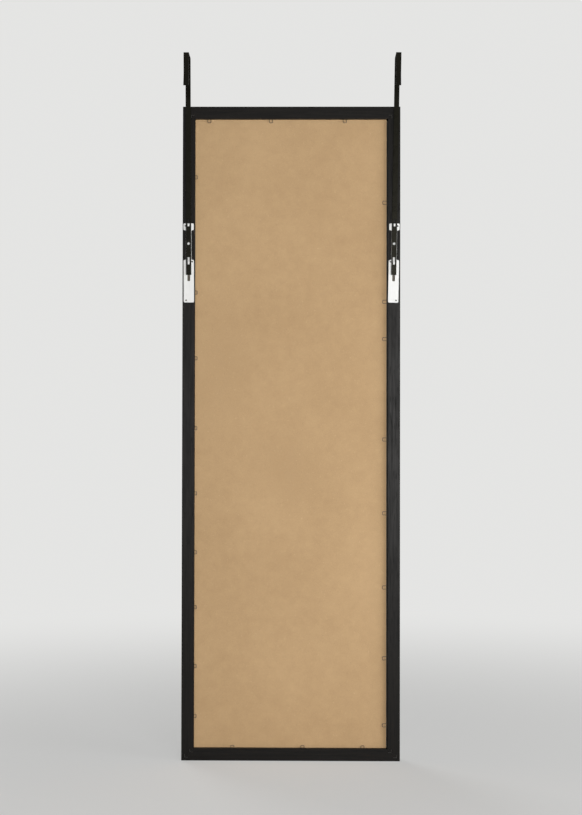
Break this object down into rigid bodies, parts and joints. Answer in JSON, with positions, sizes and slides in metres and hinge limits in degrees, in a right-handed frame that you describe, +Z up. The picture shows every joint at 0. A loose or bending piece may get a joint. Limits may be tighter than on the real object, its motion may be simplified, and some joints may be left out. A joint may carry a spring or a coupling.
{
  "type": "over-the-door mirror",
  "caption": "Tall framed mirror with a stapled back panel, carried by bent flat-steel hooks that drop over the top of a door and lock onto hanger plates on the frame's back.",
  "frame": {"origin": "midway between the hooks, on the door's top edge, at the straps' door-side face", "axes": "+Z up along the mirror's height, +Y from the door towards the room, the way the glass faces, +X to the right as seen from the back"},
  "size_m": [0.4, 0.075, 1.2895],
  "materials": {
    "frame_black": "satin black paint over fine wood grain",
    "mirror_glass": "polished float glass",
    "silvering": "silver coat",
    "board_brown": "bare hardboard",
    "staple_steel": "galvanised wire",
    "nail_steel": "bright strip",
    "plate_white": "white paint",
    "pin_black": "black oxide",
    "strap_black": "satin black powder coat"
  },
  "bodies": {
    "mirror": {"frame_left_stile": "frame_black", "frame_right_stile": "frame_black", "frame_top_rail": "frame_black", "frame_bottom_rail": "frame_black", "mirror_glass": "mirror_glass", "mirror_silvering": "silvering", "back_panel": "board_brown", "staple_left_1": "staple_steel", "staple_left_2": "staple_steel", "staple_left_3": "staple_steel", "staple_left_4": "staple_steel", "staple_left_5": "staple_steel", "staple_left_6": "staple_steel", "staple_left_7": "staple_steel", "staple_left_8": "staple_steel", "staple_left_9": "staple_steel", "staple_right_1": "staple_steel", "staple_right_2": "staple_steel", "staple_right_3": "staple_steel", "staple_right_4": "staple_steel", "staple_right_5": "staple_steel", "staple_right_6": "staple_steel", "staple_right_7": "staple_steel", "staple_right_8": "staple_steel", "staple_top_1": "staple_steel", "staple_top_2": "staple_steel", "staple_top_3": "staple_steel", "staple_bottom_1": "staple_steel", "staple_bottom_2": "staple_steel", "staple_bottom_3": "staple_steel", "corner_nail_top_left_outer": "nail_steel", "corner_nail_top_left_inner": "nail_steel", "corner_nail_top_right_outer": "nail_steel", "corner_nail_top_right_inner": "nail_steel", "corner_nail_bottom_left_outer": "nail_steel", "corner_nail_bottom_left_inner": "nail_steel", "corner_nail_bottom_right_outer": "nail_steel", "corner_nail_bottom_right_inner": "nail_steel", "left_hanger_plate": "plate_white", "right_hanger_plate": "plate_white", "left_plate_pin_upper": "pin_black", "left_plate_pin_middle": "pin_black", "left_plate_pin_lower": "pin_black", "right_plate_pin_upper": "pin_black", "right_plate_pin_middle": "pin_black", "right_plate_pin_lower": "pin_black"},
    "left_hook": {"left_hook_strap": "strap_black"},
    "right_hook": {"right_hook_strap": "strap_black"}
  },
  "joints": [
    {"name": "left_hook_lift", "type": "slide", "parent": "mirror", "child": "left_hook", "axis": [-0.0059, 0, 1], "range_m": [-0.0085, 0]},
    {"name": "right_hook_lift", "type": "slide", "parent": "mirror", "child": "right_hook", "axis": [0.0162, 0, 0.9999], "range_m": [-0.0085, 0]}
  ]
}
